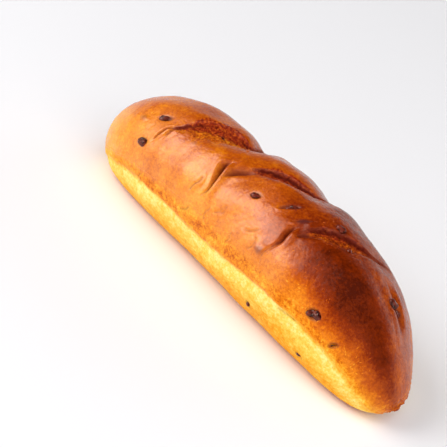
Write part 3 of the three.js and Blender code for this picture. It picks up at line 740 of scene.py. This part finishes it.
# nodes and links of any kind of tree
class Graph:
    def __init__(self, tree):
        self.tree = tree

    def add(self, kind, settings=None, **inputs):
        node = self.tree.nodes.new(kind)
        for key, value in (settings or {}).items():
            setattr(node, key, value)
        for key, value in inputs.items():
            self.set(node, key, value)
        return node

    # a key is the socket's name, or i and its number
    def set(self, node, key, value):
        socket = node.inputs[int(key[1:])] if key[0] == "i" and key[1:].isdigit() else node.inputs[key]
        if isinstance(value, bpy.types.NodeSocket):
            self.tree.links.new(value, socket)
        else:
            socket.default_value = value

    def math(self, operation, *values):
        node = self.add("ShaderNodeMath", {"operation": operation})
        for k, value in enumerate(values):
            self.set(node, f"i{k}", value)
        return node.outputs[0]

    def span(self, value, low, high, toLow=0.0, toHigh=1.0):
        node = self.add("ShaderNodeMapRange")
        for key, number in zip(("Value", "From Min", "From Max", "To Min", "To Max"),
                               (value, low, high, toLow, toHigh)):
            self.set(node, key, number)
        return node.outputs[0]


# a material with its shader
class Finish(Graph):
    def __init__(self, name):
        self.material = bpy.data.materials.new(name)
        self.material.use_nodes = True
        super().__init__(self.material.node_tree)
        self.shader = self.tree.nodes["Principled BSDF"]

    def attribute(self, name):
        return self.add("ShaderNodeAttribute", {"attribute_name": name}).outputs["Fac"]

    # value moved by an amount of a noise that is 0.5 on average
    def vary(self, value, noise, amount):
        return self.math("MULTIPLY_ADD", self.math("SUBTRACT", noise, 0.5), amount, value)

    # scale is about the number of lumps in a metre
    def noise(self, scale, detail=3.0, roughness=0.55):
        where = self.add("ShaderNodeTexCoord").outputs["Object"]
        node = self.add("ShaderNodeTexNoise", Vector=where, Scale=scale, Detail=detail)
        self.set(node, "Roughness", roughness)
        return node.outputs["Fac"]

    def ramp(self, factor, stops):
        node = self.add("ShaderNodeValToRGB", Fac=factor)
        elements = node.color_ramp.elements
        while len(elements) < len(stops):
            elements.new(0.5)
        for element, (place, color) in zip(elements, stops):
            element.position = place
            element.color = color
        return node.outputs["Color"]

    def mix(self, factor, a, b):
        return self.add("ShaderNodeMix", {"data_type": "RGBA"}, i0=factor, i6=a, i7=b).outputs[2]

    def bump(self, height, distance, strength=1.0, after=None):
        node = self.add("ShaderNodeBump", Strength=strength, Height=height, Distance=distance)
        if after is not None:
            self.set(node, "Normal", after)
        return node.outputs["Normal"]


# a colour as a screen shows it, from 0 to 255, made linear and opaque
def seen(*color):
    return *(((c / 255 + 0.055) / 1.055) ** 2.4 if c > 10 else c / 255 / 12.92 for c in color), 1


finish = {
    "bake": [
        (0.00, seen(254, 230, 146)), (0.13, seen(250, 204, 88)), (0.28, seen(241, 166, 42)),
        (0.45, seen(222, 122, 14)), (0.60, seen(186, 80, 4)), (0.78, seen(134, 42, 2)),
        (1.00, seen(78, 18, 1)),
    ],
    "burntBed": [(0.34, seen(104, 18, 4)), (0.5, seen(156, 46, 12)), (0.66, seen(206, 96, 24))],
    # colour of chips under the skin, also laid as painted shade in the gap round each chip
    "chipUnderSkinAndGapShade": seen(96, 36, 30),
    # painted shade for the creases, the folds and the slashes' far lips
    "paintedShade": seen(92, 18, 4),
    "bandSpeck": seen(196, 152, 66),
    "gloss": seen(255, 234, 218),
    "chocolate": [(0.38, seen(44, 10, 6)), (0.62, seen(118, 44, 30))],
}


# grain of the crust: how far it moves the bake where its noise is lowest and highest
skin = {
    "cloud": (-0.04, 0.04),
    "fine": (-0.09, 0.09),
    "mottled": (0.14, -0.2),  # the stretched skin over the border
    "band": (0.08, -0.08),
    "crumb": (0.22, -0.17),
    "specks": 0.6,  # how clear the band's specks are
    "roughness": (0.23, 0.75),  # of the glossy crown, and of the dull parts
    "specular": (0.95, 0.15),
    "bumps": (0.00026, 0.0003),  # metres, on the glossy crown and the dull parts
    "fineBumps": (0.00005, 0.0003),  # on the whole skin and in the torn beds
}


def crustMaterial():
    n = Finish("eggWashedCrust")
    torn, mottle, above = n.attribute("torn"), n.attribute("mottle"), n.attribute("above")
    bake = n.math("ADD", n.attribute("bake"), n.span(n.noise(240, 3), 0.3, 0.7, *skin["cloud"]))
    bake = n.math("ADD", bake, n.span(n.noise(850, 4, 0.7), 0.3, 0.7, *skin["fine"]))
    grains = n.span(n.noise(480, 4, 0.75), 0.34, 0.66, *skin["mottled"])
    bake = n.math("MULTIPLY_ADD", grains, mottle, bake)
    band = n.span(above, 0.3, -0.8)
    patches = n.span(n.noise(330, 4, 0.7), 0.3, 0.7, *skin["band"])
    bake = n.math("MULTIPLY_ADD", patches, band, bake)
    crumb = n.noise(800, 3, 0.7)
    bake = n.math("MULTIPLY_ADD", n.span(crumb, 0.32, 0.68, *skin["crumb"]), torn, bake)
    # colour of the bake, specks in the band, burnt beds, painted shade in the creases and under the far
    # lips, and chips under the skin with painted shade in the gap round each chip
    color = n.ramp(bake, finish["bake"])
    specks = n.math("MULTIPLY", n.span(n.noise(1100, 2, 0.5), 0.6, 0.72, 0, skin["specks"]), band)
    color = n.mix(specks, color, finish["bandSpeck"])
    burnt = n.math("ADD", n.attribute("burnt"), n.span(crumb, 0.3, 0.7, 0.35, -0.3))
    burnt = n.math("MULTIPLY", n.span(burnt, 0.1, 0.7), n.span(n.attribute("burnt"), 0.0, 0.2))
    color = n.mix(burnt, color, n.ramp(n.noise(900, 3, 0.7), finish["burntBed"]))
    # painted shade in the creases and folds and under the slashes' far lips
    color = n.mix(n.attribute("lipShade"), color, finish["paintedShade"])
    # chips under the skin, and painted shade in the gap round each chip
    color = n.mix(n.attribute("spot"), color, finish["chipUnderSkinAndGapShade"])
    n.set(n.shader, "Base Color", color)
    # gloss only where the skin is whole and washed
    dull = n.math("MAXIMUM", torn, n.math("MULTIPLY", mottle, 0.7))
    dull = n.math("MAXIMUM", dull, band)
    dull = n.math("MAXIMUM", dull, n.attribute("lipShade"))
    roughness = n.span(dull, 0, 1, *skin["roughness"])
    n.set(n.shader, "Roughness", n.vary(roughness, n.noise(300, 3), 0.12))
    gloss = n.math("MULTIPLY", n.span(dull, 0, 1, *skin["specular"]), n.attribute("washed"))
    n.set(n.shader, "Specular IOR Level", gloss)
    n.set(n.shader, "Specular Tint", finish["gloss"])
    grain = n.bump(n.noise(2200, 3, 0.7), n.span(torn, 0, 1, *skin["fineBumps"]))
    bumps = n.bump(n.noise(600, 4, 0.65), n.span(dull, 0, 1, *skin["bumps"]), 1.0, grain)
    n.set(n.shader, "Normal", bumps)
    return n.material


def chocolateMaterial():
    n = Finish("bakedChocolate")
    n.set(n.shader, "Base Color", n.ramp(n.noise(600, 4), finish["chocolate"]))
    n.set(n.shader, "Specular Tint", finish["gloss"])
    n.set(n.shader, "Specular IOR Level", chips["specular"])
    n.set(n.shader, "Roughness", n.vary(chips["roughness"], n.noise(700, 2), chips["roughnessSpan"]))
    n.set(n.shader, "Normal", n.bump(n.noise(330, 2), chips["dents"], chips["dentStrength"]))
    return n.material


crustPiece.data.materials.append(crustMaterial())


# a node tree for a modifier, with named inputs
class Tree(Graph):
    def __init__(self, name, inputs):
        super().__init__(bpy.data.node_groups.new(name, "GeometryNodeTree"))
        face = self.tree.interface
        face.new_socket("Geometry", in_out="INPUT", socket_type="NodeSocketGeometry")
        self.sockets = {}
        for label, (kind, value) in inputs.items():
            socket = face.new_socket(label, in_out="INPUT", socket_type=kind)
            if value is not None:
                socket.default_value = value
            self.sockets[label] = socket.identifier
        face.new_socket("Geometry", in_out="OUTPUT", socket_type="NodeSocketGeometry")
        self.start = self.tree.nodes.new("NodeGroupInput")
        self.end = self.tree.nodes.new("NodeGroupOutput")

    def input(self, label):
        return self.start.outputs[label]

    def scale(self, vector, amount):
        return self.add("ShaderNodeVectorMath", {"operation": "SCALE"}, i0=vector, Scale=amount).outputs[0]

    def named(self, name, kind="FLOAT"):
        node = self.add("GeometryNodeInputNamedAttribute", {"data_type": kind}, Name=name)
        return node.outputs["Attribute"]

    # makes the instances real, lifts their skin by a noise, smooths it and coats it
    def finish(self, instances, scale, detail, amount):
        real = self.add("GeometryNodeRealizeInstances", Geometry=instances.outputs["Instances"])
        noise = self.add("ShaderNodeTexNoise", Scale=scale, Detail=detail).outputs["Fac"]
        lift = self.math("MULTIPLY", self.math("SUBTRACT", noise, 0.5), amount)
        offset = self.scale(self.add("GeometryNodeInputNormal").outputs["Normal"], lift)
        moved = self.add("GeometryNodeSetPosition", Geometry=real.outputs["Geometry"], Offset=offset)
        even = self.add("GeometryNodeSetShadeSmooth", Geometry=moved.outputs["Geometry"])
        coated = self.add("GeometryNodeSetMaterial", Geometry=even.outputs["Geometry"],
                          Material=self.input("Material"))
        self.tree.links.new(coated.outputs["Geometry"], self.end.inputs[0])

    # runs the tree over an object and gives the result back as a new piece
    def run(self, source, name, values):
        modifier = source.modifiers.new(name, "NODES")
        modifier.node_group = self.tree
        for label, value in values.items():
            modifier[self.sockets[label]] = value
        ready = source.evaluated_get(bpy.context.evaluated_depsgraph_get())
        mesh = bpy.data.meshes.new_from_object(ready)
        source.modifiers.remove(modifier)
        mesh.name = name
        return addPiece(name, mesh)


# where a chip sits on the finished crust, with its own axes
def chipSeat(x, degrees, turn):
    spot = plainPoint(np.array([x]), np.array([degrees]))
    height, _ = crustRelief(spot, np.array([degrees]))
    step = 0.4
    alongX = plainPoint(np.array([x + step]), np.array([degrees])) - spot
    around = plainPoint(np.array([x]), np.array([degrees + step])) - spot
    normal = Vector(np.cross(alongX[0], around[0])).normalized()
    place = Vector(spot[0]) + normal * float(height[0]) + Vector(crustShift)
    first = Vector(alongX[0]).normalized()
    second = normal.cross(first)
    angle = math.radians(turn)
    long = first * math.cos(angle) + second * math.sin(angle)
    return place, Matrix((long, normal.cross(long), normal)).transposed().to_euler()


# every chip is one lumpy ball, turned and sized by what its point carries
def makeChips():
    c = chips
    places, sizes, turns = [], [], []
    for x, degrees, long, wide, turn, proud in allChips():
        place, euler = chipSeat(x, degrees, turn)
        up = euler.to_matrix() @ Vector((0, 0, 1))
        places.append(tuple((place + up * (proud - c["thick"] / 2)) * mm))
        sizes.append((long / 2 * mm, wide / 2 * mm, c["thick"] / 2 * mm))
        turns.append(tuple(euler))
    mesh = bpy.data.meshes.new("chipPlaces")
    mesh.from_pydata(places, [], [])
    for name, rows in (("chipSize", sizes), ("chipTurn", turns)):
        layer = mesh.attributes.new(name, "FLOAT_VECTOR", "POINT")
        layer.data.foreach_set("vector", np.array(rows, np.float32).ravel())
    source = addPiece("chipPlaces", mesh)
    t = Tree("chipTree", {
        "Roughness": ("NodeSocketFloat", c["rough"]),
        "Lumps": ("NodeSocketFloat", c["lumps"]),
        "Material": ("NodeSocketMaterial", None),
    })
    ball = t.add("GeometryNodeMeshIcoSphere", Radius=1.0, Subdivisions=4)
    placed = t.add("GeometryNodeInstanceOnPoints", Points=t.input("Geometry"),
                   Instance=ball.outputs["Mesh"], Rotation=t.named("chipTurn", "FLOAT_VECTOR"),
                   Scale=t.named("chipSize", "FLOAT_VECTOR"))
    t.finish(placed, t.input("Lumps"), 2.0, t.input("Roughness"))
    piece = t.run(source, "chips", {"Material": chocolateMaterial()})
    bpy.data.objects.remove(source)
    return piece


print("placing the chips")
chipPiece = makeChips()


# small lumps strewn over the crust where an attribute asks for them
def scatterTree():
    t = Tree("scatterTree", {
        "Density": ("NodeSocketFloat", 100000.0),
        "Length": ("NodeSocketFloat", 0.0007),
        "Smallest": ("NodeSocketVector", (0.5, 0.25, 0.1)),
        "Largest": ("NodeSocketVector", (1.2, 0.5, 0.3)),
        "Tilt": ("NodeSocketFloat", 0.0),
        "Ragged": ("NodeSocketFloat", 0.0),
        "Darker": ("NodeSocketFloat", 0.0),
        "Segments": ("NodeSocketInt", 8),
        "Rings": ("NodeSocketInt", 5),
        "Seed": ("NodeSocketInt", 7),
        "Material": ("NodeSocketMaterial", None),
    })
    density = t.math("MULTIPLY", t.input("Density"), t.named("scatter"))
    spread = t.add("GeometryNodeDistributePointsOnFaces", Mesh=t.input("Geometry"), Density=density,
                   Seed=t.input("Seed"))
    shade = t.add("FunctionNodeRandomValue", {"data_type": "FLOAT"}, i2=-0.08, i3=0.08)
    darker = t.math("ADD", t.math("ADD", t.named("bake"), t.input("Darker")), shade.outputs[1])
    toned = t.add("GeometryNodeStoreNamedAttribute", {"data_type": "FLOAT", "domain": "POINT"},
                  Geometry=spread.outputs["Points"], Name="bake", Value=darker)
    ball = t.add("GeometryNodeMeshUVSphere", Radius=1.0, Segments=t.input("Segments"),
                 Rings=t.input("Rings"))
    size = t.add("FunctionNodeRandomValue", {"data_type": "FLOAT_VECTOR"}, i0=t.input("Smallest"),
                 i1=t.input("Largest"))
    scaled = t.scale(size.outputs[0], t.input("Length"))
    tilt = t.add("ShaderNodeCombineXYZ", X=t.input("Tilt"), Y=t.input("Tilt"), Z=math.pi)
    spin = t.add("FunctionNodeRandomValue", {"data_type": "FLOAT_VECTOR"}, i0=t.scale(tilt.outputs[0], -1.0),
                 i1=tilt.outputs[0])
    spun = t.add("FunctionNodeEulerToRotation", Euler=spin.outputs[0])
    turned = t.add("FunctionNodeRotateRotation", {"rotation_space": "LOCAL"}, i0=spread.outputs["Rotation"],
                   i1=spun.outputs[0])
    placed = t.add("GeometryNodeInstanceOnPoints", Points=toned.outputs["Geometry"],
                   Instance=ball.outputs["Mesh"], Rotation=turned.outputs[0], Scale=scaled)
    t.finish(placed, 1500.0, 1.0, t.input("Ragged"))
    return t


scatter = {
    # the blisters are painted paler than the crust round them: a painted glint on each
    "blisters": {"where": "blister", "Density": 150000.0, "Length": 0.0009, "Smallest": (0.4, 0.15, 0.1),
                 "Largest": (0.8, 0.3, 0.22), "Darker": -0.1, "Seed": 7},
    "tornCrumb": {"where": "torn", "Density": 500000.0, "Length": 0.0007, "Smallest": (0.5, 0.35, 0.25),
                  "Largest": (1.5, 0.6, 0.45), "Tilt": 0.5, "Ragged": 0.0005, "Darker": 0.0, "Seed": 11},
}


# one kind of lumps over the source, as dense as the attribute that the settings name
def strew(name, source, tree, settings):
    mesh = source.data
    where = np.zeros(len(mesh.vertices), np.float32)
    mesh.attributes[settings["where"]].data.foreach_get("value", where)
    layer = mesh.attributes.get("scatter") or mesh.attributes.new("scatter", "FLOAT", "POINT")
    layer.data.foreach_set("value", where)
    values = {label: value for label, value in settings.items() if label != "where"}
    return tree.run(source, name, {**values, "Material": source.data.materials[0]})


print("strewing blisters and torn crumb")
scatterNodes = scatterTree()
strewn = [strew(name, crustPiece, scatterNodes, settings) for name, settings in scatter.items()]
crustPiece.data.attributes.remove(crustPiece.data.attributes["scatter"])

for piece in (crustPiece, *strewn, chipPiece):
    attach(piece, "root")
    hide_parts("loaf")

studio = {
    "floor": (0.95, 0.94, 0.96),
    "horizon": 0.9,  # light of the backdrop low down, and of the ceiling
    "ceiling": 0.02,
    "ceilingFrom": (0.05, 0.4),
    "lights": {
        "key": {"toward": (-0.53, -0.60, 0.58), "distance": 1.9, "size": 1.4, "power": 30.0},
        "top": {"toward": (0.55, -0.3, 1.0), "distance": 2.2, "size": 2.5, "power": 33.0},
        "rim": {"toward": (0.3, 0.9, 0.3), "distance": 2.0, "size": 1.2, "power": 6.0},
        "fill": {"toward": (0.8, -0.5, 0.45), "distance": 2.2, "size": 2.0, "power": 13.0},
    },
    "mirrored": ("key", "rim"),  # only these glint in the crust, so the crown mirrors no ceiling
}


def addFloor():
    mesh = bpy.data.meshes.new("floor")
    side = 3.0
    corners = [(-side, -side, 0), (side, -side, 0), (side, side, 0), (-side, side, 0)]
    mesh.from_pydata(corners, [], [(0, 1, 2, 3)])
    n = Finish("paleFloor")
    n.set(n.shader, "Base Color", (*studio["floor"], 1))
    n.set(n.shader, "Roughness", 0.8)
    mesh.materials.append(n.material)
    addPiece("floor", mesh)


def addLight(name, light):
    data = bpy.data.lights.new(name, "AREA")
    data.shape = "SQUARE"
    data.size = light["size"]
    data.energy = light["power"]
    item = bpy.data.objects.new(name, data)
    place = Vector(light["toward"]).normalized() * light["distance"]
    item.location = place + Vector((0, 0, 0.03))  # seen from the middle of the loaf
    item.rotation_euler = place.to_track_quat("Z", "Y").to_euler()
    item.visible_glossy = name in studio["mirrored"]
    bpy.context.scene.collection.objects.link(item)


print("setting up the studio")
addFloor()
for name, light in studio["lights"].items():
    addLight(name, light)


# a pale backdrop round the horizon under a darker ceiling
def addWorld():
    world = bpy.data.worlds.new("studio")
    world.use_nodes = True
    g = Graph(world.node_tree)
    backdrop = g.tree.nodes["Background"]
    toward = g.add("ShaderNodeTexCoord").outputs["Generated"]
    height = g.add("ShaderNodeSeparateXYZ", i0=toward).outputs["Z"]
    g.set(backdrop, "Color", (1, 1, 1, 1))
    g.set(backdrop, "Strength", g.span(height, *studio["ceilingFrom"], studio["horizon"], studio["ceiling"]))
    return world


world = addWorld()
bpy.context.scene.world = world
bpy.context.scene.view_settings.view_transform = "Standard"
